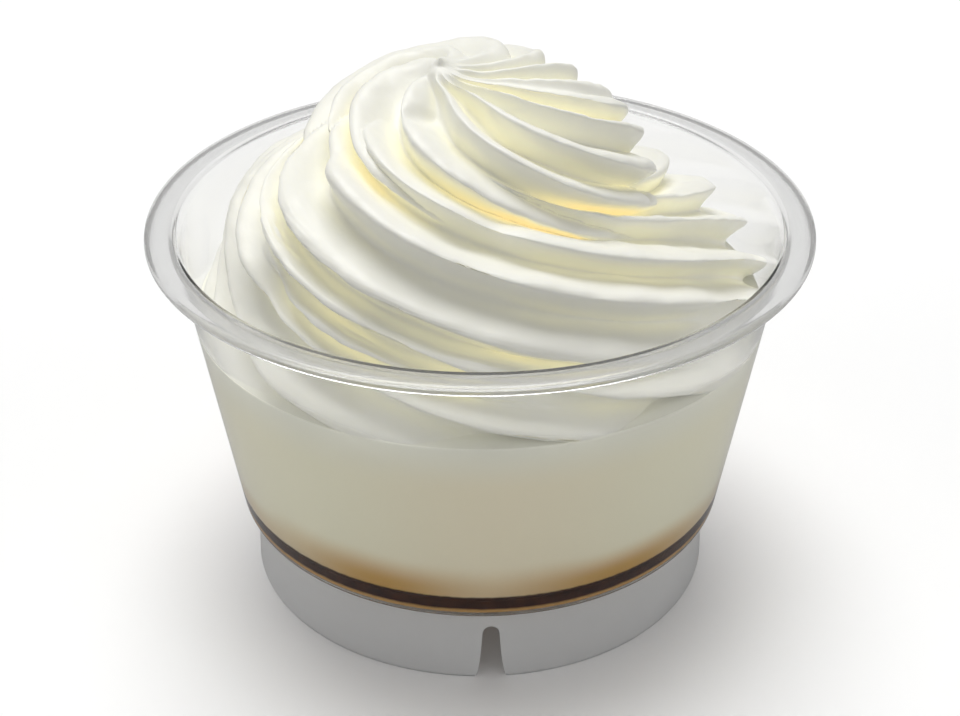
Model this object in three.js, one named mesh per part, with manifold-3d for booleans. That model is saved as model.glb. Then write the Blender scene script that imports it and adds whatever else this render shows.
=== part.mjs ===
// A pudding cup: a clear plastic dessert cup with a layer of caramel, a thick layer of custard
// pudding and a heap of piped cream on top.
//
// Millimetres, +Z up. The cup stands on z = 0 with its axis on the Z axis, and -Y is its front.
// Azimuths are in degrees, counted from +X towards +Y, so the front is at -90.

import * as THREE from 'three';
import { mergeVertices } from 'three/addons/utils/BufferGeometryUtils.js';
import Module from 'manifold-3d';

const wasm = await Module();
wasm.setup();

const degrees = THREE.MathUtils.degToRad;
const clamp = THREE.MathUtils.clamp;

// ---- Driving dimensions ----

const gap = 0.3;              // clearance between the cup and what fills it, and between layers
const roundSegments = 72;     // facets round the cup and its layers

const cup = {
  rimRadius: 47.5,            // over the flange: a cup of 95 mm
  height: 56.57,              // top of the flange
  mouthRadius: 43.9,          // where the flat of the flange starts
  wallTop: 55.75,             // underside of the flange
  wallRadius: 43.74,          // outside of the wall, carried up to the flange's top
  wallTaper: 0.1673,          // loss of radius for each millimetre down
  wall: 0.75,                 // wall thickness
  lipDepth: 1.17,             // turned-down edge of the flange
  lipWidth: 0.7,
  edgeRadius: 0.9,            // rounding of the flange's edges
  bodyBottom: 12,             // underside of the floor
  floor: 0.85,                // floor thickness
  heelRadius: 1,              // rounding of the wall's bottom edge
  innerHeelRadius: 1.5,       // rounding between wall and floor, inside
};

const foot = {
  topRadius: 34.12,           // outside of the skirt below the floor
  bottomRadius: 34.5,
  thickness: 0.8,
};

const notch = {               // an arched slot in the skirt, open at its foot
  azimuths: [-87.4, 32.6, 152.6],
  height: 8.8,
  waist: 4,                   // height where the straight sides start
  topWidth: 2.4,
  waistWidth: 2.9,
  footWidth: 4.5,
};

const levels = {
  caramelTop: 15.6,
  puddingTop: 43.5,
  creamFoot: 43.8,
  creamLimit: 90,             // above all the cream
};

// The cream is piped from a star nozzle in two turns, and each turn is a tier: a dome whose sharp
// ridges wind down from its pole. Places on it are given by azimuth and by polar angle, counted from
// the pole. A ridge keeps its place in `crests` at the polar angle 60, and `sweep` and `curl` carry
// it round as it goes down, while `stretch` spreads the ridges on one side. Some ridges start or end
// on the way: `missing` lists those left out before, between and after the `turns`.
const lowerTier = {
  centre: [0, 0, 44],
  spread: 39.2,               // radius at the dome's widest
  height: 17,                 // from the centre to the pole
  square: 3.4,                // 2 is an ellipsoid, more has a fuller shoulder
  wider: [[0, 60, 1.2], [180, 60, -2.2], [90, 80, -4.6]],   // azimuth, half width, amount
  taller: [[-132, 150, 15.5]],
  crests: [-157, -144, -131, -115.5, -85, -62, -33, -5, 25, 55, 85, 114, 143, 172],
  missing: [[-144], [], [-144, -115.5]],
  turns: [[60, 72], [76, 88]],
  sweep: 2.5,
  curl: 0.0034,
  stretch: [[11.5, 2, -90]],  // amount, waves in a full turn, azimuth where they start
  grooveDepth: 4.9,
  fullGap: 25,                // grooves are shallower where their ridges are closer than this
  grooveStart: [18, 42],      // polar angles between which the grooves deepen
  grooveEnd: [98, 114],       // and those between which they run out
  lean: 1.3,                  // 1 is an even groove, more has its bottom nearer the upper ridge
  upright: [[0, 70, -0.2]],   // change of the lean: azimuth, half width, amount
  crestRound: 0.06,           // rounding of the ridges' crests
  rounder: [[30, 55, 0.5]],
  shallower: [],
  swells: [                   // azimuth, half width, polar angle, half height, amount
    [172, 55, 50, 24, -2.6],
    [-139, 7, 69, 7, -1.8],
    [-142, 14, 41, 7, -1.5],
    [-87, 12, 49, 6, -1.2],
    [-40, 12, 48, 6, -1],
    [4, 12, 59, 6, -1.2],
  ],
  flare: [76, 92, 3.2],       // spread of the foot against the wall: from, to, amount
  lastRow: 92,
  rows: 27,
  columnsPerRidge: 6,
};

const upperTier = {
  centre: [-1, -4, 60],
  spread: 26,
  height: 19.7,
  square: 2.5,
  wider: [[-150, 50, -0.5]],
  taller: [[80, 120, 1.1]],
  crests: [-171, -150, -112, -71, -35, 6, 54, 88, 120, 153],
  missing: [[]],
  turns: [],
  sweep: 2.37,
  curl: 0.0169,
  stretch: [[24.6, 1, -214], [4, 2, -214]],
  grooveDepth: 4.6,
  fullGap: 25,
  grooveStart: [2, 38],
  grooveEnd: [96, 120],
  lean: 1.3,
  upright: [[50, 100, -0.3]],
  crestRound: 0.07,
  rounder: [[60, 110, 0.9]],
  shallower: [[60, 110, 0.25]],
  swells: [
    [-100, 120, 90, 38, -5],
    [10, 60, 30, 20, 1.2],
    [42, 48, 58, 26, -1.6],
    [-153, 12, 59, 8, -1.6],
    [-127, 12, 34, 9, -1.4],
    [-82, 12, 72, 6, -1.2],
    [-41, 12, 77, 6, -1],
    [-8, 12, 83, 6, -1.2],
  ],
  flare: [120, 121, 0],
  lastRow: 118,
  rows: 25,
  columnsPerRidge: 7,
  tip: { shift: [-4.4, -1], lift: 1.2, reach: 15, liftReach: 6 },   // the last pull of the nozzle
};

// ---- Solids ----

// A geometry's vertices merged, its faces turned out, as a solid for joining and cutting.
function solidOf(geometry) {
  const bare = geometry.clone();
  bare.deleteAttribute('normal');
  bare.deleteAttribute('uv');
  const merged = mergeVertices(bare, 1e-4);
  const triangles = Uint32Array.from(merged.index.array);
  const points = Float32Array.from(merged.attributes.position.array);
  if (signedVolume(points, triangles) < 0) triangles.reverse();
  return new wasm.Manifold(new wasm.Mesh({ numProp: 3, vertProperties: points, triVerts: triangles }));
}

// Six times the volume inside a closed mesh, negative where its faces point in.
function signedVolume(points, triangles) {
  const corner = (i) => new THREE.Vector3().fromArray(points, 3 * triangles[i]);
  let total = 0;
  for (let i = 0; i < triangles.length; i += 3) {
    total += corner(i).dot(corner(i + 1).cross(corner(i + 2)));
  }
  return total;
}

function geometryOf(solid) {
  const mesh = solid.getMesh();
  const geometry = new THREE.BufferGeometry();
  geometry.setAttribute('position', new THREE.BufferAttribute(mesh.vertProperties, 3));
  geometry.setIndex(new THREE.BufferAttribute(mesh.triVerts, 1));
  geometry.computeVertexNormals();
  return geometry;
}

// A profile of radii and heights turned about the Z axis.
function turned(profile) {
  return new THREE.LatheGeometry(profile, roundSegments).rotateX(Math.PI / 2);
}

// ---- Cup ----

const outerWall = (z) => cup.wallRadius - cup.wallTaper * (cup.height - z);
const innerWall = (z) => outerWall(z) - cup.wall;

// Points of a quarter round of the profile, from one height and radius to another: the control
// point is the sharp corner that it replaces.
function rounded(path, corner, end) {
  path.quadraticCurveTo(corner[0], corner[1], end[0], end[1]);
}

function cupProfile() {
  const { edgeRadius, height, rimRadius, mouthRadius, wallTop, lipDepth, lipWidth } = cup;
  const floorTop = cup.bodyBottom + cup.floor;
  const innerHeel = cup.innerHeelRadius;
  const mouthFoot = height - edgeRadius;
  const lipBottom = height - lipDepth;
  const heelTop = cup.bodyBottom + cup.heelRadius;
  const path = new THREE.Path();
  path.moveTo(0, floorTop);
  path.lineTo(innerWall(floorTop) - innerHeel, floorTop);
  rounded(path, [innerWall(floorTop), floorTop], [innerWall(floorTop + innerHeel), floorTop + innerHeel]);
  path.lineTo(innerWall(mouthFoot), mouthFoot);
  rounded(path, [innerWall(height), height], [mouthRadius, height]);
  path.lineTo(rimRadius - edgeRadius, height);
  rounded(path, [rimRadius, height], [rimRadius, height - edgeRadius]);
  path.lineTo(rimRadius, lipBottom);
  path.lineTo(rimRadius - lipWidth, lipBottom);
  path.lineTo(rimRadius - lipWidth, wallTop);
  path.lineTo(outerWall(wallTop), wallTop);
  path.lineTo(outerWall(heelTop), heelTop);
  rounded(path, [outerWall(cup.bodyBottom), cup.bodyBottom],
    [outerWall(cup.bodyBottom) - cup.heelRadius, cup.bodyBottom]);
  path.lineTo(foot.topRadius, cup.bodyBottom);
  path.lineTo(foot.bottomRadius, 0);
  path.lineTo(foot.bottomRadius - foot.thickness, 0);
  path.lineTo(foot.topRadius - foot.thickness, cup.bodyBottom);
  path.lineTo(0, cup.bodyBottom);
  return path.getPoints(3);
}

// The slot's outline stands in the X-Z plane and is run through the skirt at its azimuth.
function notchCutter(azimuth) {
  const spring = notch.height - notch.topWidth / 2;
  const shape = new THREE.Shape();
  shape.moveTo(-notch.footWidth / 2, -1);
  shape.lineTo(-notch.footWidth / 2, 0);
  shape.quadraticCurveTo(-notch.waistWidth / 2, notch.waist / 4, -notch.waistWidth / 2, notch.waist);
  shape.lineTo(-notch.topWidth / 2, spring);
  shape.absarc(0, spring, notch.topWidth / 2, Math.PI, 0, true);
  shape.lineTo(notch.waistWidth / 2, notch.waist);
  shape.quadraticCurveTo(notch.waistWidth / 2, notch.waist / 4, notch.footWidth / 2, 0);
  shape.lineTo(notch.footWidth / 2, -1);
  const depth = 4 * foot.thickness;
  const cutter = new THREE.ExtrudeGeometry(shape, { depth, bevelEnabled: false, curveSegments: 5 });
  cutter.rotateX(Math.PI / 2);
  cutter.translate(0, -(foot.topRadius - 2 * foot.thickness), 0);
  return cutter.rotateZ(degrees(azimuth + 90));
}

function cupGeometry() {
  let solid = solidOf(turned(cupProfile()));
  for (const azimuth of notch.azimuths) solid = solid.subtract(solidOf(notchCutter(azimuth)));
  return geometryOf(solid);
}

// ---- Caramel and pudding ----

// A layer that fills the cup from one height to another, clear of its wall. The lowest layer
// follows the rounding of the cup's heel.
function layerGeometry(bottom, top, heel) {
  const path = new THREE.Path();
  const radius = (z) => innerWall(z) - gap;
  path.moveTo(0, bottom);
  path.lineTo(radius(bottom) - heel, bottom);
  if (heel > 0) rounded(path, [radius(bottom), bottom], [radius(bottom + heel), bottom + heel]);
  path.lineTo(radius(top), top);
  path.lineTo(0, top);
  return geometryOf(solidOf(turned(path.getPoints(3))));
}

// ---- Cream ----

// A smooth bump of an azimuth, 1 at its centre and 0 beyond its half width.
function hump(azimuth, centre, halfWidth) {
  const turn = ((azimuth - centre + 540) % 360 + 360) % 360 - 180;
  return Math.cos(clamp(turn / halfWidth, -1, 1) * Math.PI / 2) ** 2;
}

const sumOfHumps = (azimuth, humps) =>
  humps.reduce((sum, [centre, halfWidth, amount]) => sum + amount * hump(azimuth, centre, halfWidth), 0);

// The part of the way, 0 to 1, that a value has gone from one end of a range to the other.
const along = (value, [from, to]) => clamp((value - from) / (to - from), 0, 1);

// The crests of a tier without those missing, and the first one again a full turn later.
function fullTurn(tier, missing) {
  const kept = tier.crests.filter((crest) => !missing.includes(crest));
  return [...kept, kept[0] + 360];
}

// How deep the groove is at a place between two of the crests, 0 to 1: a V with a rounded bottom,
// nearer the upper crest as it leans.
function grooveBetween(crests, place, fullGap, lean, soft) {
  const after = crests.findIndex((crest) => crest > place);
  const width = crests[after] - crests[after - 1];
  const wave = Math.sin(Math.PI * ((place - crests[after - 1]) / width) ** lean);
  const shape = (Math.hypot(wave, soft) - soft) / (Math.hypot(1, soft) - soft);
  return shape ** 1.2 * Math.min(width / fullGap, 1) ** 0.7;
}

// The depth of the grooves at a column and a polar angle, before they start and run out.
function grooveAt(tier, place, polar, azimuth) {
  const lean = tier.lean + sumOfHumps(azimuth, tier.upright);
  const soft = tier.crestRound + sumOfHumps(azimuth, tier.rounder);
  const depths = tier.missing.map((missing) =>
    grooveBetween(fullTurn(tier, missing), place, tier.fullGap, lean, soft));
  return tier.turns.reduce((groove, [from, to], i) =>
    THREE.MathUtils.lerp(groove, depths[i + 1], THREE.MathUtils.smoothstep(polar, from, to)), depths[0]);
}

// The azimuth, at a polar angle, of the column of points that is at `place` at 60 degrees.
function windingAzimuth(tier, place, polar) {
  const past = polar - 60;
  const straight = place + tier.sweep * past + tier.curl * past ** 2;
  return tier.stretch.reduce((azimuth, [amount, waves, start]) =>
    azimuth + amount * Math.sin(degrees(waves * (straight - start))), straight);
}

function tierPoint(tier, place, polar) {
  const azimuth = windingAzimuth(tier, place, polar);
  const spread = tier.spread + sumOfHumps(azimuth, tier.wider);
  const height = tier.height + sumOfHumps(azimuth, tier.taller);
  const across = Math.sin(degrees(polar));
  const up = Math.cos(degrees(polar));
  const n = tier.square;
  const dome = ((across / spread) ** n + (Math.abs(up) / height) ** n) ** (-1 / n);
  const deepen = along(polar, tier.grooveStart) ** 0.8 * (1 - along(polar, tier.grooveEnd));
  const depth = tier.grooveDepth * deepen * (1 - sumOfHumps(azimuth, tier.shallower));
  const flare = tier.flare[2] * THREE.MathUtils.smoothstep(polar, tier.flare[0], tier.flare[1]);
  const swell = tier.swells.reduce((sum, [centre, halfWidth, level, halfHeight, amount]) =>
    sum + amount * hump(azimuth, centre, halfWidth) * hump(polar, level, halfHeight), 0);
  const radius = dome - depth * grooveAt(tier, place, polar, azimuth) + flare + swell;
  const point = new THREE.Vector3(
    tier.centre[0] + radius * across * Math.cos(degrees(azimuth)),
    tier.centre[1] + radius * across * Math.sin(degrees(azimuth)),
    tier.centre[2] + radius * up,
  );
  if (tier.tip) {
    const pull = Math.exp(-((polar / tier.tip.reach) ** 2));
    point.x += pull * tier.tip.shift[0];
    point.y += pull * tier.tip.shift[1];
    point.z += tier.tip.lift * Math.exp(-((polar / tier.tip.liftReach) ** 2));
  }
  return point;
}

// Columns of points follow the ridges, rows are rings of one polar angle, and a fan closes each end.
function tierGeometry(tier) {
  const { rows, columnsPerRidge, lastRow } = tier;
  const crests = fullTurn(tier, []);
  const columns = tier.crests.length * columnsPerRidge;
  const points = [tierPoint(tier, crests[0], 0.01)];
  for (let row = 1; row <= rows; row += 1) {
    for (let column = 0; column < columns; column += 1) {
      const ridge = Math.floor(column / columnsPerRidge);
      const fraction = column / columnsPerRidge - ridge;
      const place = THREE.MathUtils.lerp(crests[ridge], crests[ridge + 1], fraction);
      points.push(tierPoint(tier, place, lastRow * row / rows));
    }
  }
  const foot = points[points.length - 1].z;
  points.push(new THREE.Vector3(tier.centre[0], tier.centre[1], foot));
  const at = (row, column) => 1 + (row - 1) * columns + column % columns;
  const index = [];
  for (let column = 0; column < columns; column += 1) {
    index.push(0, at(1, column), at(1, column + 1));
    for (let row = 1; row < rows; row += 1) {
      const [a, b] = [at(row, column), at(row, column + 1)];
      const [c, d] = [at(row + 1, column), at(row + 1, column + 1)];
      index.push(a, c, d, a, d, b);
    }
    index.push(points.length - 1, at(rows, column + 1), at(rows, column));
  }
  const geometry = new THREE.BufferGeometry().setFromPoints(points);
  geometry.setIndex(index);
  return geometry;
}

// The room that the cream may fill: inside the cup, above the pudding, and anything over the rim.
function creamRoom() {
  const mouth = innerWall(cup.height - cup.edgeRadius) - gap;
  return turned([
    new THREE.Vector2(0, levels.creamFoot),
    new THREE.Vector2(innerWall(levels.creamFoot) - gap, levels.creamFoot),
    new THREE.Vector2(mouth, cup.height - cup.edgeRadius),
    new THREE.Vector2(mouth, levels.creamLimit),
    new THREE.Vector2(0, levels.creamLimit),
  ]);
}

// The tiers joined and cut to their room. Only the largest shell is kept, so that a hollow sealed
// between the tiers is filled and a loose scrap dropped.
function creamGeometry() {
  const tiers = solidOf(tierGeometry(lowerTier)).add(solidOf(tierGeometry(upperTier)));
  const shells = tiers.intersect(solidOf(creamRoom())).decompose();
  return geometryOf(shells.reduce((largest, shell) => (shell.volume() > largest.volume() ? shell : largest)));
}

// ---- Materials ----

const clearPlastic = new THREE.MeshStandardMaterial({
  color: 0xdfe2e4, roughness: 0.18, metalness: 0, transparent: true, opacity: 0.35,
});
const custard = new THREE.MeshStandardMaterial({ color: 0xd9cf98, roughness: 0.45, metalness: 0 });
const darkCaramel = new THREE.MeshStandardMaterial({ color: 0x3a1c0a, roughness: 0.2, metalness: 0 });
const whippedCream = new THREE.MeshStandardMaterial({ color: 0xf7f4e6, roughness: 0.5, metalness: 0 });

function piece(name, geometry, material) {
  const mesh = new THREE.Mesh(geometry, material);
  mesh.name = name;
  return mesh;
}

const floorTop = cup.bodyBottom + cup.floor;
const puddingCup = new THREE.Group();
puddingCup.add(
  piece('cup', cupGeometry(), clearPlastic),
  piece('caramel', layerGeometry(floorTop + gap, levels.caramelTop, cup.innerHeelRadius), darkCaramel),
  piece('pudding', layerGeometry(levels.caramelTop + gap, levels.puddingTop, 0), custard),
  piece('cream', creamGeometry(), whippedCream),
);

export default puddingCup;
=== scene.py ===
import math

import bmesh
import bpy
import numpy as np
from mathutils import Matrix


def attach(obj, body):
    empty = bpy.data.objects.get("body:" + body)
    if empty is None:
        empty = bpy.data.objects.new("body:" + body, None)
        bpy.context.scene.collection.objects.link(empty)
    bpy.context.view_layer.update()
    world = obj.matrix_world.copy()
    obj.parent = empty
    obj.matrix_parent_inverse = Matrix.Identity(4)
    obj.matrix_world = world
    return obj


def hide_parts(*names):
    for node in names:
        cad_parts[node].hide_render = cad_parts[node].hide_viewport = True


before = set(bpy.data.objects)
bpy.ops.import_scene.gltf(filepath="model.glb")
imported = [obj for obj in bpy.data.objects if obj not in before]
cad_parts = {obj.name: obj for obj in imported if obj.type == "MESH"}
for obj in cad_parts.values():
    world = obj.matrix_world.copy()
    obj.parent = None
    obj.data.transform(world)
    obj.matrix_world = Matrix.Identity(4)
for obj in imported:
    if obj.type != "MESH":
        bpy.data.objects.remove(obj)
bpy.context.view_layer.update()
print("frame loaded")

# A clear cup of custard pudding with caramel below and piped cream on top.
# Sizes are in millimetres and azimuths in degrees from +X towards +Y, so the front is at -90.
mm = 0.001
axisGap = 0.4  # flat faces stop this far from the axis, and a fan of triangles closes them


# A smooth step from 0 to 1 between two values.
def ramp(value, low, high):
    part = np.clip((value - low) / (high - low), 0, 1)
    return part * part * (3 - 2 * part)


# A bump of an azimuth: the squared cosine of its distance from the centre, 0 past the half width.
def hump(azimuth, centre, halfWidth):
    turn = (azimuth - centre + 180) % 360 - 180
    return np.cos(np.clip(turn / halfWidth, -1, 1) * np.pi / 2) ** 2


# Value noise from -1 to 1: random numbers at the corners of a cubic lattice, blended by smooth steps.
def cloud(points, size, seed):
    side = 24  # corners each way, after which the numbers repeat
    table = np.random.default_rng(seed).random((side, side, side)) * 2 - 1
    cell = points / size
    low = np.floor(cell).astype(int)
    part = cell - low
    part = part * part * (3 - 2 * part)
    total = np.zeros(points.shape[:-1])
    for offset in np.ndindex(2, 2, 2):
        weight = np.prod(np.where(offset, part, 1 - part), axis=-1)
        i, j, k = np.moveaxis((low + offset) % side, -1, 0)
        total += weight * table[i, j, k]
    return total


# The unit normals of a grid of rings: the cross product of the differences down and round it.
def gridNormals(grid):
    down = np.gradient(grid, axis=0)
    along = (np.roll(grid, -1, axis=1) - np.roll(grid, 1, axis=1)) / 2
    normal = np.cross(down, along)
    return normal / np.maximum(np.linalg.norm(normal, axis=-1, keepdims=True), 1e-9)


# Positive where the rings of a grid make a surface that faces out: the sum of the volumes that its
# cells close with the origin.
def spin(grid):
    after = np.roll(grid, -1, axis=1)
    first = (np.cross(grid[:-1], grid[1:]) * after[:-1]).sum()
    return first + (np.cross(after[:-1], grid[1:]) * after[1:]).sum()


# A closed mesh from rings of points (rows, columns, xyz): quads join neighbouring rings, and a fan
# of triangles to the mean of the ring closes each end.
def ringMesh(name, grid):
    if spin(grid) < 0:
        grid = grid[:, ::-1]
    rows, columns, _ = grid.shape
    points = grid.reshape(-1, 3)
    column = np.arange(columns)
    after = (column + 1) % columns
    row = np.arange(rows - 1)[:, None] * columns
    below = row + columns
    quads = np.stack([row + column, below + column, below + after, row + after], -1).reshape(-1, 4)
    points = np.vstack([points, grid[0].mean(0), grid[-1].mean(0)])
    top = np.full(columns, rows * columns)
    last = (rows - 1) * columns
    fans = np.stack([np.stack([top, column, after], -1),
                     np.stack([top + 1, last + after, last + column], -1)]).reshape(-1, 3)
    corners = np.concatenate([quads.ravel(), fans.ravel()])
    totals = np.concatenate([np.full(len(quads), 4), np.full(len(fans), 3)])
    mesh = bpy.data.meshes.new(name)
    mesh.vertices.add(len(points))
    mesh.vertices.foreach_set("co", (points * mm).astype(np.float32).ravel())
    mesh.loops.add(len(corners))
    mesh.loops.foreach_set("vertex_index", corners.astype(np.int32))
    mesh.polygons.add(len(totals))
    mesh.polygons.foreach_set("loop_start", (np.cumsum(totals) - totals).astype(np.int32))
    mesh.update(calc_edges=True)
    mesh.validate()
    mesh.polygons.foreach_set("use_smooth", np.ones(len(totals), dtype=bool))
    return mesh


# An object at the origin from a mesh, with one material.
def addPiece(name, mesh, material):
    mesh.materials.clear()
    mesh.materials.append(material)
    piece = bpy.data.objects.new(name, mesh)
    bpy.context.scene.collection.objects.link(piece)
    return piece


# The points of a line of a profile: evenly spaced between a short inset at each end, so that the
# shading of the flat stays flat up to the round corners.
def straight(start, end, step, inset=0.12):
    start, end = np.array(start, float), np.array(end, float)
    length = np.linalg.norm(end - start)
    count = max(int(length / step), 1)
    inner = np.linspace(inset, length - inset, count + 1)
    return start + (end - start) * inner[:, None] / length


# A round corner of a profile: a parabola that leaves and meets the lines of the sharp corner.
def corner(start, sharp, end, count=8):
    t = np.linspace(0, 1, count + 1)[:, None]
    start, sharp, end = (np.array(p, float) for p in (start, sharp, end))
    return (1 - t) ** 2 * start + 2 * t * (1 - t) * sharp + t * t * end


# A profile of radii and heights turned about the Z axis, as rings of points.
def turned(profile, azimuths):
    angle = np.radians(azimuths)
    radius, height = profile[:, 0][:, None], profile[:, 1][:, None]
    return np.stack([radius * np.cos(angle), radius * np.sin(angle), height + 0 * angle], -1)


# A material with a Principled shader whose sockets are set by their names, and that shader.
def newMaterial(name, **sockets):
    material = bpy.data.materials.new(name)
    material.use_nodes = True
    shader = material.node_tree.nodes["Principled BSDF"]
    for key, value in sockets.items():
        shader.inputs[key].default_value = value
    return material, shader


# A node of a material, with its inputs and settings by name.
def addNode(material, kind, **settings):
    node = material.node_tree.nodes.new(kind)
    for key, value in settings.items():
        if key in node.inputs:
            node.inputs[key].default_value = value
        else:
            setattr(node, key, value)
    return node


# A link from a node's output to another's socket.
def join(material, output, socket):
    material.node_tree.links.new(output, socket)


# A noise of the object's own coordinates.
def noiseOf(material, scale, detail):
    place = addNode(material, "ShaderNodeTexCoord")
    noise = addNode(material, "ShaderNodeTexNoise", Scale=scale, Detail=detail)
    join(material, place.outputs["Object"], noise.inputs["Vector"])
    return noise.outputs["Fac"]


# Colours at places from 0 to 1 of a factor, blended in between.
def colourRamp(material, factor, stops):
    node = addNode(material, "ShaderNodeValToRGB")
    elements = node.color_ramp.elements
    while len(elements) < len(stops):
        elements.new(0.5)
    for element, (place, colour) in zip(elements, stops):
        element.position = place
        element.color = (*colour, 1)
    join(material, factor, node.inputs["Fac"])
    return node.outputs["Color"]


# Fine relief in the shading from a height.
def bumpFrom(material, height, shader, strength, distance):
    bump = addNode(material, "ShaderNodeBump", Strength=strength, Distance=distance)
    join(material, height, bump.inputs["Height"])
    join(material, bump.outputs["Normal"], shader.inputs["Normal"])


# A value spread from one range to another.
def spreadOf(material, value, source, target, **settings):
    spread = addNode(material, "ShaderNodeMapRange", **settings)
    join(material, value, spread.inputs["Value"])
    for name, limit in zip(("From Min", "From Max", "To Min", "To Max"), (*source, *target)):
        spread.inputs[name].default_value = limit
    return spread.outputs["Result"]


# Clear plastic, nearly clear in the wall and hazier in the rim and the foot. Lamp light that goes
# through it takes its lampTint.
plastics = dict(
    wall=dict(haze=0.002, roughness=0.09, gloss=0.08,
              tint=(0.91, 0.91, 0.90), lampTint=(0.97, 0.97, 0.97)),
    rim=dict(haze=0.15, roughness=0.14, gloss=0.18,
             tint=(0.765, 0.765, 0.76), lampTint=(0.75, 0.75, 0.75)),
    foot=dict(haze=0.6, roughness=0.3, gloss=0.22,
              tint=(0.93, 0.93, 0.925), lampTint=(0.95, 0.95, 0.95)),
    refraction=1.49,
)


# One of the three plastics: a Principled shader that transmits all but its haze.
def plasticMaterial(name):
    plastic = plastics[name]
    material, shader = newMaterial(name + "Plastic", **{
        "Base Color": (*plastic["tint"], 1), "Roughness": plastic["roughness"],
        "IOR": plastics["refraction"], "Specular IOR Level": plastic["gloss"],
        "Transmission Weight": 1 - plastic["haze"]})
    # lamps shine through, so that the food behind the wall is lit
    path = addNode(material, "ShaderNodeLightPath")
    clear = addNode(material, "ShaderNodeBsdfTransparent", Color=(*plastic["lampTint"], 1))
    mix = addNode(material, "ShaderNodeMixShader")
    output = material.node_tree.nodes["Material Output"]
    join(material, path.outputs["Is Shadow Ray"], mix.inputs["Fac"])
    join(material, shader.outputs["BSDF"], mix.inputs[1])
    join(material, clear.outputs["BSDF"], mix.inputs[2])
    join(material, mix.outputs["Shader"], output.inputs["Surface"])
    return material


# Whipped cream: light that has gone through much of it turns yellow. This is painted: valleys and
# pockets get painted scattered light, and pockets painted shade too, by how much of the open air they
# see, and they have a painted glow.
creamFinish = dict(
    colours=(  # the share of open air that is seen, and the painted colour there
        (0.0, (0.90, 0.80, 0.52)),      # pockets: painted shade and painted scattered light
        (0.13, (0.99, 0.94, 0.67)),     # the foot of a valley: painted scattered light
        (0.4, (0.97, 0.955, 0.80)),     # valleys: painted scattered light
        (0.7, (0.895, 0.888, 0.815)),   # crests and faces
    ),
    reach=0.0045, rays=6,      # how far, in metres, cream hides the open air
    paintedGlow=0.25, paintedGlowEnds=0.55,  # a painted glow, an emission in hollows, and the share of open air at which it ends
    scatter=0.15, scatterDepth=0.0008, scatterTint=(1.0, 0.95, 0.75), gloss=0.35,
    grainScale=700, grainDetail=2, grainRange=(0.35, 0.65), bump=0.2, bumpHeight=0.0002,
    roughness=(0.3, 0.45),
)


# The painted colour (painted scattered light, and painted shade in pockets) and the painted glow follow
# the share of open air, and a fine grain gives relief and sheen.
def creamMaterial():
    finish = creamFinish
    material, shader = newMaterial("whippedCream", **{
        "Subsurface Weight": finish["scatter"], "Subsurface Scale": finish["scatterDepth"],
        "Subsurface Radius": finish["scatterTint"], "Specular IOR Level": finish["gloss"]})
    openAir = addNode(material, "ShaderNodeAmbientOcclusion", samples=finish["rays"], only_local=True,
                      Distance=finish["reach"]).outputs["AO"]
    # painted scattered light in valleys and painted shade in pockets, by the ambient occlusion
    colour = colourRamp(material, openAir, finish["colours"])
    # the painted glow: an emission that fades out as more open air is seen
    paintedGlow = spreadOf(material, openAir, (0, finish["paintedGlowEnds"]), (finish["paintedGlow"], 0),
                    interpolation_type="SMOOTHSTEP")
    grain = noiseOf(material, finish["grainScale"], finish["grainDetail"])
    roughness = spreadOf(material, grain, finish["grainRange"], finish["roughness"])
    bumpFrom(material, grain, shader, finish["bump"], finish["bumpHeight"])
    join(material, colour, shader.inputs["Base Color"])
    join(material, colour, shader.inputs["Emission Color"])
    join(material, paintedGlow, shader.inputs["Emission Strength"])
    join(material, roughness, shader.inputs["Roughness"])
    return material


# Where the height above the floor lies between two values, as 0 to 1. A noise makes the edge uneven.
def heightShare(material, low, high, uneven, scale):
    place = addNode(material, "ShaderNodeTexCoord")
    parts = addNode(material, "ShaderNodeSeparateXYZ")
    wander = addNode(material, "ShaderNodeMath", operation="MULTIPLY_ADD")
    join(material, place.outputs["Object"], parts.inputs["Vector"])
    join(material, noiseOf(material, scale, detail=4), wander.inputs[0])
    wander.inputs[1].default_value = uneven * mm
    join(material, parts.outputs["Z"], wander.inputs[2])
    limits = ((low + uneven / 2) * mm, (high + uneven / 2) * mm)
    return spreadOf(material, wander.outputs["Value"], limits, (0, 1), interpolation_type="SMOOTHSTEP")


# The first colour where a factor is 0 and the second where it is 1. Each is a tuple or an output.
def mixColours(material, factor, first, second):
    mix = addNode(material, "ShaderNodeMix", data_type="RGBA")
    join(material, factor, mix.inputs["Factor"])
    for value, socket in ((first, mix.inputs["A"]), (second, mix.inputs["B"])):
        if isinstance(value, tuple):
            socket.default_value = (*value, 1)
        else:
            join(material, value, socket)
    return mix.outputs["Result"]


# A value that the mesh carries at its points.
def attributeOf(material, name):
    return addNode(material, "ShaderNodeAttribute", attribute_name=name).outputs["Fac"]


# Custard: warmer in some places, stained by the caramel below, and under a film of cream at its top.
custardFinish = dict(
    pale=(0.95, 0.93, 0.76), warm=(0.96, 0.89, 0.71), stain=(0.61, 0.325, 0.02),
    film=(0.93, 0.925, 0.82), filmUneven=1.5, filmScale=150,
    edge=(0.05, 0.014, 0.005), edgeBlend=(-0.25, 0.15), edgeUneven=0.3, edgeScale=900,
    roughness=0.5, gloss=0.15,
)


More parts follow.
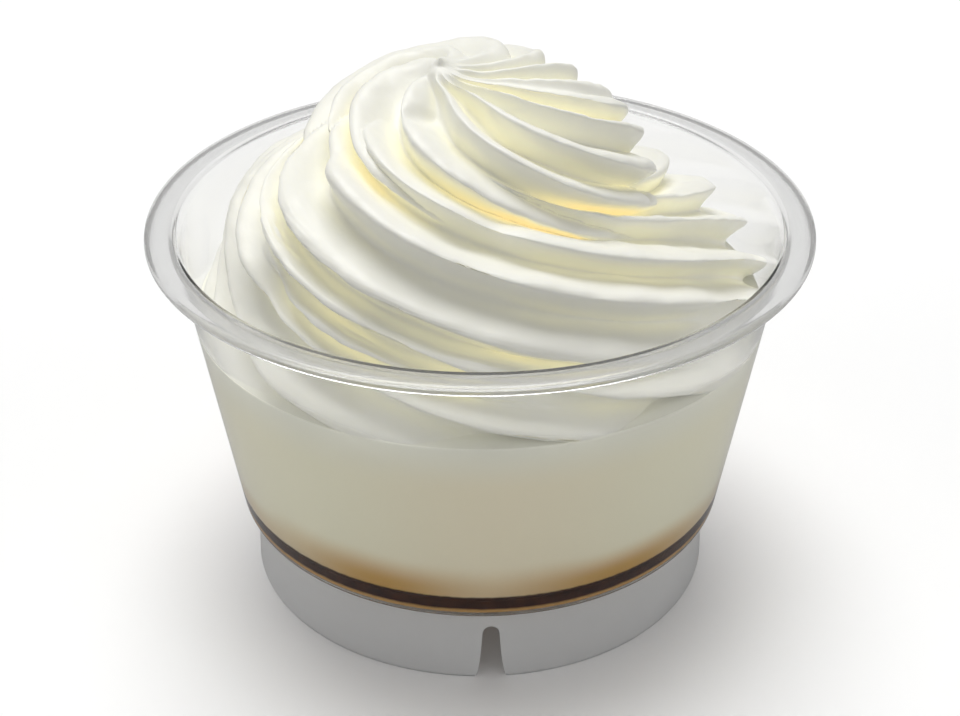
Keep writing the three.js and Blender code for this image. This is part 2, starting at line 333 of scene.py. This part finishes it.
# From pale to warm, then the film, the stain and the dark lower edge, each mixed over the last.
def custardMaterial():
    finish = custardFinish
    material, shader = newMaterial("custard", **{
        "Roughness": finish["roughness"], "Specular IOR Level": finish["gloss"]})
    colour = mixColours(material, attributeOf(material, "warm"), finish["pale"], finish["warm"])
    filmed = heightShare(material, food["puddingTop"] - food["filmDepth"], food["puddingTop"],
                         finish["filmUneven"], finish["filmScale"])
    colour = mixColours(material, filmed, colour, finish["film"])
    colour = mixColours(material, attributeOf(material, "stain"), colour, finish["stain"])
    edge = food["caramelTop"] + food["edgeHeight"]
    clean = heightShare(material, edge + finish["edgeBlend"][0], edge + finish["edgeBlend"][1],
                        finish["edgeUneven"], finish["edgeScale"])
    colour = mixColours(material, clean, finish["edge"], colour)
    join(material, colour, shader.inputs["Base Color"])
    return material


# Caramel sauce: dark, with a beige band where it runs out on the rounded heel, painted light of the lit
# plastic heel.
caramelFinish = dict(
    colours=((0.3, (0.025, 0.005, 0.002)), (0.75, (0.07, 0.02, 0.007))), scale=500,
    paintedHeelLight=(0.64, 0.38, 0.14), paintedHeelLightBlend=(-0.4, 0.2), paintedHeelLightUneven=0.3, paintedHeelLightScale=900,
    roughness=0.3, gloss=0.03,
)


# Dark, a bit lighter where a noise is high, and mixed to the painted light of the heel below a height.
def caramelMaterial():
    finish = caramelFinish
    material, shader = newMaterial("caramel", **{
        "Roughness": finish["roughness"], "Specular IOR Level": finish["gloss"]})
    colour = colourRamp(material, noiseOf(material, finish["scale"], detail=4), finish["colours"])
    low, high = (food["paintedHeelLightHeight"] + blend for blend in finish["paintedHeelLightBlend"])
    # below this height the caramel takes the painted light of the lit plastic heel
    abovePaintedHeelLight = heightShare(material, low, high, finish["paintedHeelLightUneven"], finish["paintedHeelLightScale"])
    join(material, mixColours(material, abovePaintedHeelLight, finish["paintedHeelLight"], colour), shader.inputs["Base Color"])
    return material


# The floor is white where it is seen, and throws less light back on the cup than such a floor would.
floorFinish = dict(
    colours=((0, (0.96, 0.96, 0.96)), (1, (0.98, 0.98, 0.98))), scale=3,
    bounce=(0.45, 0.45, 0.45), roughness=0.9, gloss=0.1,
)


# The bounce's colour for rays that come off other things, and the seen colour for all others, also
# for those that have come through the plastic.
def floorMaterial():
    finish = floorFinish
    material, shader = newMaterial("floor", **{
        "Roughness": finish["roughness"], "Specular IOR Level": finish["gloss"]})
    colour = colourRamp(material, noiseOf(material, finish["scale"], detail=2), finish["colours"])
    path = addNode(material, "ShaderNodeLightPath")
    either = addNode(material, "ShaderNodeMath", operation="ADD")
    bounced = addNode(material, "ShaderNodeMath", operation="SUBTRACT", use_clamp=True)
    join(material, path.outputs["Is Diffuse Ray"], either.inputs[0])
    join(material, path.outputs["Is Glossy Ray"], either.inputs[1])
    join(material, either.outputs["Value"], bounced.inputs[0])
    join(material, path.outputs["Is Transmission Ray"], bounced.inputs[1])
    shown = mixColours(material, bounced.outputs["Value"], colour, finish["bounce"])
    join(material, shown, shader.inputs["Base Color"])
    return material


# The clear cup: radii and heights of its outline, and its three arched notches in the foot.
cup = dict(
    rimRadius=47.5, height=56.57, mouthRadius=43.9, wallTop=55.75,
    wallRadius=43.74, wallTaper=0.1673,   # outside, at the rim's height, and less per mm below it
    wall=0.75, lipDepth=1.17, lipWidth=0.7, edgeRadius=0.9,
    bodyBottom=12.0, floor=0.85, heelRadius=1.0, innerHeelRadius=1.5,
    footTop=34.12, footBottom=34.5, footWall=0.8,
    notchAzimuths=(-87.4, 32.6, 152.6), notchHeight=8.8, notchWaist=4.0,
    notchTopWidth=2.4, notchWaistWidth=2.9, notchFootWidth=4.5,
    lipRounding=0.25, footRounding=0.12,  # of the lower edges
    columnStep=1.25, columnGap=0.3,       # degrees between columns of points, and beside a notch
    notchPoints=(10, 5, 7),               # across half of a notch: its arch, its side and its flare
    skirtRows=20, skirtEnds=(0.01, 0.04),  # rows down the foot, and shares of it above the first two
    rimPlastic=0.3,                       # the rim's plastic starts this far inside the mouth
    footPlastic=(0.1, 1),                 # the foot's, this far below the body and inside the skirt
)


# The wall's outer radius at a height: it tapers evenly.
def outerWall(z):
    return cup["wallRadius"] - cup["wallTaper"] * (cup["height"] - z)


# Its inner radius.
def innerWall(z):
    return outerWall(z) - cup["wall"]


# The outline of the cup above its floor's underside, from the axis inside to the foot skirt outside.
def bodyProfile():
    c = cup
    floorTop = c["bodyBottom"] + c["floor"]
    heelIn = [innerWall(floorTop) - c["innerHeelRadius"], floorTop]
    heelOut = floorTop + c["innerHeelRadius"]
    mouthFoot = c["height"] - c["edgeRadius"]
    rim = c["rimRadius"]
    lip = c["height"] - c["lipDepth"]
    inLip = rim - c["lipWidth"]
    heelTop = c["bodyBottom"] + c["heelRadius"]
    under = outerWall(c["bodyBottom"]) - c["heelRadius"]
    small = c["lipRounding"]
    return np.vstack([
        straight([axisGap, floorTop], heelIn, step=3),
        corner(heelIn, [innerWall(floorTop), floorTop], [innerWall(heelOut), heelOut]),
        straight([innerWall(heelOut), heelOut], [innerWall(mouthFoot), mouthFoot], step=1.5),
        corner([innerWall(mouthFoot), mouthFoot], [innerWall(c["height"]), c["height"]],
               [c["mouthRadius"], c["height"]]),
        straight([c["mouthRadius"], c["height"]], [rim - c["edgeRadius"], c["height"]], step=0.8),
        corner([rim - c["edgeRadius"], c["height"]], [rim, c["height"]],
               [rim, c["height"] - c["edgeRadius"]]),
        corner([rim, lip + small], [rim, lip], [rim - small, lip], count=3),
        corner([inLip + small, lip], [inLip, lip], [inLip, lip + small], count=3),
        straight([inLip, c["wallTop"]], [outerWall(c["wallTop"]), c["wallTop"]], step=0.8),
        straight([outerWall(c["wallTop"]), c["wallTop"]], [outerWall(heelTop), heelTop], step=1.5),
        corner([outerWall(heelTop), heelTop], [outerWall(c["bodyBottom"]), c["bodyBottom"]],
               [under, c["bodyBottom"]]),
        straight([under, c["bodyBottom"]], [c["footTop"], c["bodyBottom"]], step=1),
    ])


# Height of the skirt's lower edge at a distance across a notch: an arch on straight sides that
# flare at the foot.
def notchHeight(across):
    c = cup
    radius = c["notchTopWidth"] / 2
    spring = c["notchHeight"] - radius
    waist = c["notchWaistWidth"] / 2
    foot = c["notchFootWidth"] / 2
    across = np.abs(across)
    arch = spring + np.sqrt(np.maximum(radius ** 2 - across ** 2, 0))
    side = spring - (spring - c["notchWaist"]) * (across - radius) / (waist - radius)
    flare = c["notchWaist"] * np.clip((foot - across) / (foot - waist), 0, 1) ** 2
    return np.where(across < radius, arch, np.where(across < waist, side, flare))


# Azimuths of the cup's columns: even all round, with more of them at each notch's edges.
def cupAzimuths():
    found = np.arange(0, 360, cup["columnStep"])
    half = cup["notchFootWidth"] / 2
    waist = cup["notchWaistWidth"] / 2
    radius = cup["notchTopWidth"] / 2
    arch, side, flare = cup["notchPoints"]
    across = np.concatenate([np.linspace(0, radius, arch), np.linspace(radius, waist, side)[1:],
                             np.linspace(waist, half, flare)[1:]])
    across = np.degrees(np.concatenate([-across[:0:-1], across]) / cup["footTop"])
    for azimuth in cup["notchAzimuths"]:
        turn = (found - azimuth + 180) % 360 - 180
        found = np.concatenate([found[np.abs(turn) > across.max() + cup["columnGap"]],
                                (azimuth + across) % 360])
    return np.sort(found)


# The cup as one run of rings: the body's profile, then the skirt down its outside, round its lower
# edge and up its inside, and the floor's underside back to the axis.
def cupGrid():
    c = cup
    azimuths = cupAzimuths()
    body = turned(bodyProfile(), azimuths)
    edge = np.zeros(len(azimuths))
    for azimuth in c["notchAzimuths"]:
        turn = (azimuths - azimuth + 180) % 360 - 180
        across = np.radians(turn) * c["footTop"]
        inNotch = np.abs(across) < c["notchFootWidth"] / 2
        edge = np.maximum(edge, np.where(inNotch, notchHeight(across), 0))
    first, second = c["skirtEnds"]
    drop = np.linspace(second, 1 - second, c["skirtRows"])
    drop = np.concatenate([[first], drop, [1 - first]])[:, None]
    soft = c["footRounding"]
    height = c["bodyBottom"] - drop * (c["bodyBottom"] - edge - soft)
    outside = c["footTop"] + (c["footBottom"] - c["footTop"]) * (1 - height / c["bodyBottom"])
    angle = np.radians(azimuths)

    # points at a radius and a height, one for each azimuth
    def ring(radius, z):
        return np.stack([radius * np.cos(angle), radius * np.sin(angle), z + 0 * angle], -1)

    outer = ring(outside, height)
    inner = ring(outside - c["footWall"], height)[::-1]
    low = c["footTop"] + (c["footBottom"] - c["footTop"]) * (1 - edge / c["bodyBottom"])
    lower = np.stack([ring(low - soft, edge), ring(low - c["footWall"] + soft, edge)])
    inFoot = c["footTop"] - c["footWall"]
    under = turned(straight([inFoot, c["bodyBottom"]], [axisGap, c["bodyBottom"]], step=3), azimuths)
    return np.concatenate([body, outer, lower, inner, under])


# The cup as one piece, its faces given the wall's, the rim's or the foot's plastic by where they lie.
def makeCup():
    mesh = ringMesh("clearCup", cupGrid())
    piece = addPiece("clearCup", mesh, plasticMaterial("wall"))
    mesh.materials.append(plasticMaterial("rim"))
    mesh.materials.append(plasticMaterial("foot"))
    middle = np.empty(len(mesh.polygons) * 3, np.float32)
    mesh.polygons.foreach_get("center", middle)
    middle = middle.reshape(-1, 3) / mm
    radius = np.hypot(middle[:, 0], middle[:, 1])
    height = middle[:, 2]
    below, inside = cup["footPlastic"]
    rimBottom = cup["wallTop"] - cup["lipDepth"]
    isRim = (height > rimBottom) & (radius > cup["mouthRadius"] - cup["rimPlastic"])
    isFoot = (height < cup["bodyBottom"] - below) & (radius > cup["footTop"] - inside)
    slots = np.where(isRim, 1, np.where(isFoot, 2, 0))
    mesh.polygons.foreach_set("material_index", slots.astype(np.int32))
    return piece


# The caramel and the custard: flat layers that fill the cup from wall to wall.
food = dict(
    reach=0.25,          # how far the food goes into the cup's wall, so that no gap shows
    caramelTop=15.6, puddingTop=43.6,
    filmDepth=8.0,       # cream smeared over the top of the custard
    edgeHeight=0.45,     # dark edge of the custard, soaked through
    paintedHeelLightHeight=13.7,     # the caramel has painted light below this, for the lit plastic heel
    stainHeight=8.5, stainVaries=0.25, stainPatch=9, stainUpright=0.1, stainSeed=5,
    stainSoftness=0.8, stainLeast=0.35, stainStrength=0.5,
    stained=((-112, 28), (-58, 36), (20, 30), (80, 40), (160, 35)),  # azimuths and half widths
    warmLeast=0.1, warmStrength=0.7,
    warmed=((-86, 40), (0, 30), (70, 45), (150, 40)),
)


# A layer's rings: the bottom from its middle out, the side just inside the cup's wall, and the top
# back to the middle.
def layerGrid(bottom, top, heel):
    # the cup's inner radius at a height, and a little more
    def radius(z):
        return innerWall(z) + food["reach"]

    low = [radius(bottom) - heel, bottom]
    high = bottom + heel
    profile = [straight([axisGap, bottom], low, step=3)]
    if heel > 0:
        profile.append(corner(low, [radius(bottom), bottom], [radius(high), high]))
    profile.append(straight([radius(high), high], [radius(top), top], step=0.4))
    profile.append(straight([radius(top), top], [axisGap, top], step=3))
    return turned(np.vstack(profile), np.arange(0, 360, cup["columnStep"]))


# The caramel lies on the cup's floor and fills its rounded heel.
def makeCaramel():
    bottom = cup["bodyBottom"] + cup["floor"] - food["reach"]
    grid = layerGrid(bottom, food["caramelTop"], cup["innerHeelRadius"])
    return addPiece("caramelLayer", ringMesh("caramelLayer", grid), caramelMaterial())


# The custard, whose points carry how much they are stained and how warm their colour is. Caramel
# soaks up between custard and wall, more in some places round the cup than in others.
def makePudding():
    grid = layerGrid(food["caramelTop"], food["puddingTop"], 0)
    mesh = ringMesh("custardLayer", grid)
    points = np.empty(len(mesh.vertices) * 3, np.float32)
    mesh.vertices.foreach_get("co", points)
    points = points.reshape(-1, 3) / mm
    azimuth = np.degrees(np.arctan2(points[:, 1], points[:, 0]))
    varies = food["stainVaries"]
    uneven = cloud(points * [1, 1, food["stainUpright"]], food["stainPatch"], food["stainSeed"])
    rise = food["stainHeight"] * (1 - varies + varies * uneven)
    stain = ramp(food["caramelTop"] + rise - points[:, 2], 0, rise * food["stainSoftness"])
    stained, warmed = food["stainStrength"], food["warmStrength"]
    stain *= food["stainLeast"] + sum(stained * hump(azimuth, c, h) for c, h in food["stained"])
    warm = food["warmLeast"] + sum(warmed * hump(azimuth, c, h) for c, h in food["warmed"])
    for name, value in (("stain", stain), ("warm", warm)):
        mesh.attributes.new(name, "FLOAT", "POINT").data.foreach_set("value", value.astype(np.float32))
    return addPiece("custardLayer", mesh, custardMaterial())


# What both turns of the nozzle share.
piping = dict(
    unevenness=((9, 0.5), (4, 0.2), (1.8, 0.06), (1.2, 0.02)),  # sizes of bumps and their heights
    crestBumps=((1.5, 0.16, 9), (0.8, 0.02, 10)),  # the same along the crests, and a step of the seed
    crestNarrow=4, frothSize=0.8, frothSeed=5,
    grooveRound=1.2, grooveDeepens=0.8, gapNarrows=0.7,
    firstRow=0.3,  # polar angle of the first row, from straight up
    middle=60,     # polar angle at which a crest has the azimuth in its list
    calmTip=8,     # polar angle up to which the tip is smoother
    pressSoftness=0.5,
)

# One turn of the nozzle each. wider, taller and deeper hold (azimuth, half width, amount). upright,
# rounder, lobed, swells and frothy hold (azimuth, half width, polar angle, half width, amount), where
# a half width of 999 is nearly all over.
lowerTier = dict(
    centre=(0, 0, 44), spread=39.2, height=17, square=3.4,
    wider=((0, 60, 1.2), (180, 60, -2.2), (90, 80, -4.6)), taller=((-132, 150, 15.5),),
    crests=(-157, -144, -131, -115.5, -85, -62, -33, -5, 25, 55, 85, 114, 143, 172),
    # crests that aren't there, and polar angles over which one such list gives way to the next
    missing=((-144,), (), (-144, -115.5)), turns=((60, 72), (76, 88)),
    sweep=2.5, curl=0.0034, stretch=((11.5, 2, -90),),  # degrees, waves round, and where they start
    grooveDepth=4.9, fullGap=25,                # the depth at this many degrees from crest to crest
    grooveStart=(18, 42), grooveEnd=(98, 114),  # polar angles over which grooves deepen and fade
    lean=1.55, upright=((0, 70, 60, 999, -0.4),),
    crestRound=0.05, rounder=((30, 55, 60, 999, 0.5),),
    deeper=(), lobed=(), shallow={},            # shallow: a crest and a share for the groove after it
    swells=((172, 55, 50, 24, -2.6), (-139, 9, 69, 9, -1.2), (-142, 14, 41, 7, -1.5),
            (-87, 12, 49, 6, -1.2), (-40, 12, 48, 6, -1), (4, 12, 59, 6, -1.2)),
    frothy=((-139, 16, 58, 11, 0.32), (-112, 14, 72, 7, 0.15), (-80, 25, 74, 6, 0.12)),
    flare=(76, 92, 3.2),                        # polar angles over which the foot gets this much wider
    lastRow=92, rows=130, columnsPerRidge=42, seed=11,
)

upperTier = dict(
    centre=(-1, -4, 60), spread=26.0, height=19.7, square=2.5,
    wider=((-150, 50, -0.5),), taller=((80, 120, 1.1),),
    crests=(-171, -150, -112, -71, -35, 6, 30, 54, 88, 120, 153), missing=((),), turns=(),
    sweep=2.37, curl=0.0169, stretch=((24.6, 1, -214), (4, 2, -214)),
    grooveDepth=4.6, fullGap=25, grooveStart=(5, 42), grooveEnd=(96, 120),
    lean=1.55, upright=((50, 100, 60, 999, -0.55),),
    crestRound=0.05, rounder=((60, 110, 60, 999, 0.9),),
    deeper=((60, 110, -0.25),), lobed=((45, 100, 55, 80, 1.1),), shallow={30: 0.2, -35: 0.85},
    swells=((-100, 120, 90, 38, -5.0), (10, 60, 30, 20, 1.2), (42, 48, 58, 26, -1.6),
            (-153, 12, 59, 8, -1.6), (-127, 12, 34, 9, -1.4), (-82, 12, 72, 6, -1.2),
            (-41, 12, 77, 6, -1.0), (-8, 12, 83, 6, -1.2)),
    frothy=((-60, 40, 30, 12, 0.08),),
    flare=(120, 121, 0), lastRow=118, rows=120, columnsPerRidge=40, seed=23,
    tipShift=(-4.4, -1.0), tipLift=1.2, tipReach=15, tipLiftReach=6,  # reaches are polar angles
)


# One turn of the nozzle: a dome whose radius at a polar angle p is a superellipse of its spread and
# height, to the power of square, less a groove between two crests. Columns of points follow the
# ridges, whose azimuth is crest + sweep (p - middle) + curl (p - middle)^2, with sines that stretch it
# on one side. The surface is then moved along its normals by the cream's unevenness, more of it on
# crests and in frothy places.
def tierGrid(tier):
    t = tier

    # a value with humps of the azimuth added
    def varied(base, changes):
        return base + sum(w * hump(azimuth, c, h) for c, h, w in changes)

    # a sum of humps of the azimuth times humps of the polar angle
    def patches(changes):
        return sum(w * hump(azimuth, c, h) * hump(polar, p, q) for c, h, p, q, w in changes)

    crests = np.append(t["crests"], t["crests"][0] + 360)
    fraction = np.arange(t["columnsPerRidge"]) / t["columnsPerRidge"]
    column = (crests[:-1, None] + (crests[1:] - crests[:-1])[:, None] * fraction).ravel()
    polar = np.linspace(piping["firstRow"], t["lastRow"], t["rows"])[:, None]
    past = polar - piping["middle"]
    winding = column + t["sweep"] * past + t["curl"] * past ** 2
    azimuth = winding + sum(w * np.sin(np.radians(m * (winding - c))) for w, m, c in t["stretch"])
    spread = varied(t["spread"], t["wider"])
    height = varied(t["height"], t["taller"])
    across, up = np.sin(np.radians(polar)), np.cos(np.radians(polar))
    n = t["square"]
    dome = ((across / spread) ** n + (np.abs(up) / height) ** n) ** (-1 / n)
    deepen = np.clip((polar - t["grooveStart"][0]) / (t["grooveStart"][1] - t["grooveStart"][0]), 0, 1)
    fade = np.clip((t["grooveEnd"][1] - polar) / (t["grooveEnd"][1] - t["grooveEnd"][0]), 0, 1)
    shape = (t["fullGap"], t["lean"] + patches(t["upright"]), t["crestRound"] + patches(t["rounder"]),
             patches(t["lobed"]), t["shallow"])
    grooves = [grooveBetween([c for c in crests if c not in missing], column, *shape)
               for missing in t["missing"]]
    groove = grooves[0]
    for following, (start, end) in zip(grooves[1:], t["turns"]):
        groove = groove + (following - groove) * ramp(polar, start, end)
    deepen = deepen ** piping["grooveDeepens"]
    radius = dome - t["grooveDepth"] * (1 + varied(0, t["deeper"])) * deepen * fade * groove
    radius = radius + t["flare"][2] * ramp(polar, t["flare"][0], t["flare"][1]) + patches(t["swells"])
    angle = np.radians(azimuth)
    grid = np.stack([radius * across * np.cos(angle), radius * across * np.sin(angle), radius * up], -1)
    grid = grid + np.array(t["centre"])
    if "tipShift" in t:
        pull = np.exp(-(polar / t["tipReach"]) ** 2)
        grid[..., 0] += pull * t["tipShift"][0]
        grid[..., 1] += pull * t["tipShift"][1]
        grid[..., 2] += t["tipLift"] * np.exp(-(polar / t["tipLiftReach"]) ** 2)
    nearCrest = (1 - np.minimum(groove, 1)) ** piping["crestNarrow"]
    bumps = sum(w * cloud(grid, size, t["seed"] + k) for size, w, k in piping["crestBumps"])
    relief = nearCrest * bumps
    for k, (size, w) in enumerate(piping["unevenness"]):
        relief = relief + w * cloud(grid, size, t["seed"] + k)
    froth = cloud(grid, piping["frothSize"], t["seed"] + piping["frothSeed"])
    for c, h, p, q, w in t["frothy"]:
        relief = relief + w * hump(azimuth, c, h) * hump(polar, p, q) * froth
    return grid + gridNormals(grid) * (relief * ramp(polar, 0, piping["calmTip"]))[..., None]


# Depth of the grooves between some crests, 0 to 1, at each column: a V with a rounded bottom and
# rounded crests, its bottom nearer the upper crest as it leans, shallower in a narrow gap. Where it
# is lobed the ridges are fat and round, with a sharp valley between them. The grooves after some
# crests are shallow.
def grooveBetween(crests, column, fullGap, lean, crestRound, lobed, shallow):
    share = np.array([shallow.get(c, 1) for c in crests])
    crests = np.array(crests)
    place = np.searchsorted(crests, column, side="right") - 1
    gap = crests[place + 1] - crests[place]
    angle = np.pi * ((column - crests[place]) / gap) ** lean
    wave = (np.hypot(np.sin(angle), crestRound) - crestRound) / (np.hypot(1, crestRound) - crestRound)
    smooth = wave ** piping["grooveRound"]
    depth = smooth + (1 - np.abs(np.cos(angle)) - smooth) * lobed
    return depth * share[place] * np.minimum(gap / fullGap, 1) ** piping["gapNarrows"]


# Cream that meets the wall lies flat against it: a smooth minimum of its radius and the wall's.
def pressToWall(grid):
    radius = np.hypot(grid[..., 0], grid[..., 1])
    limit = innerWall(np.minimum(grid[..., 2], cup["height"])) + food["reach"]
    softness = piping["pressSoftness"]
    over = softness * np.logaddexp(0, (radius - limit) / softness)
    scale = (radius - over) / np.maximum(radius, 1e-6)
    return grid * np.stack([scale, scale, np.ones_like(scale)], -1)


# The cream: both turns joined to one closed piece.
def makeCream():
    tiers = []
    for name, tier in (("creamLower", lowerTier), ("creamUpper", upperTier)):
        grid = pressToWall(tierGrid(tier))
        tiers.append(addPiece(name, ringMesh(name, grid), creamMaterial()))
    lower, upper = tiers
    union = lower.modifiers.new("union", "BOOLEAN")
    union.operation = "UNION"
    union.solver = "MANIFOLD"
    union.object = upper
    bpy.context.view_layer.update()
    mesh = bpy.data.meshes.new_from_object(lower.evaluated_get(bpy.context.evaluated_depsgraph_get()))
    lower.modifiers.clear()
    lower.data = mesh
    # points that the union leaves in the middle of an edge would make folded triangles
    work = bmesh.new()
    work.from_mesh(mesh)
    bmesh.ops.dissolve_verts(work, verts=[v for v in work.verts if len(v.link_edges) == 2])
    work.to_mesh(mesh)
    work.free()
    bpy.data.objects.remove(upper)
    lower.name = "pipedCream"
    return lower


cupPiece = makeCup()
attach(cupPiece, "root")
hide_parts("cup")
print("cup made")

caramelPiece = makeCaramel()
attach(caramelPiece, "root")
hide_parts("caramel")

puddingPiece = makePudding()
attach(puddingPiece, "root")
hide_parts("pudding")
print("caramel and custard made")

creamPiece = makeCream()
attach(creamPiece, "root")
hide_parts("cream")
print("cream made")


# A plain pale floor and soft light: a large lamp above and a bit behind, and a low one on each side.
studio = dict(
    floorSize=3.0, world=0.34, target=(0, 0, 0.04),
    lamps=(
        dict(name="key", size=1.2, power=16.8, place=(-0.08, 0.4, 1.43)),
        dict(name="leftFill", size=0.8, power=1.8, place=(-1.1, -0.55, 0.42)),
        dict(name="rightFill", size=0.8, power=1.8, place=(1.1, -0.55, 0.42)),
    ),
)

half = studio["floorSize"] / 2
floorMesh = bpy.data.meshes.new("floor")
floorMesh.from_pydata([(-half, -half, 0), (half, -half, 0), (half, half, 0), (-half, half, 0)], [],
                      [(0, 1, 2, 3)])
floor = addPiece("floor", floorMesh, floorMaterial())

world = bpy.data.worlds.new("studio")
world.use_nodes = True
world.node_tree.nodes["Background"].inputs["Color"].default_value = (1, 1, 1, 1)
world.node_tree.nodes["Background"].inputs["Strength"].default_value = studio["world"]
bpy.context.scene.world = world

for lamp in studio["lamps"]:
    data = bpy.data.lights.new(lamp["name"], "AREA")
    data.shape = "DISK"
    data.size = lamp["size"]
    data.energy = lamp["power"]
    light = bpy.data.objects.new(lamp["name"], data)
    light.location = lamp["place"]
    aim = np.array(studio["target"]) - np.array(lamp["place"])
    light.rotation_euler = (math.acos(-aim[2] / np.linalg.norm(aim)), 0, math.atan2(-aim[0], aim[1]))
    bpy.context.scene.collection.objects.link(light)

# the camera that was fitted to the photograph's ellipses: place in millimetres, pitch in degrees
view = dict(lens=71.09, sensor=36, nearest=0.01, place=(0, -242.1, 178.9), pitch=58.79)
cameraData = bpy.data.cameras.new("camera")
cameraData.lens = view["lens"]
cameraData.sensor_width = view["sensor"]
cameraData.clip_start = view["nearest"]
camera = bpy.data.objects.new("camera", cameraData)
camera.location = np.array(view["place"]) * mm
camera.rotation_euler = (math.radians(view["pitch"]), 0, 0)
bpy.context.scene.collection.objects.link(camera)
bpy.context.scene.camera = camera
bpy.context.scene.view_settings.view_transform = "Standard"
print("studio made")
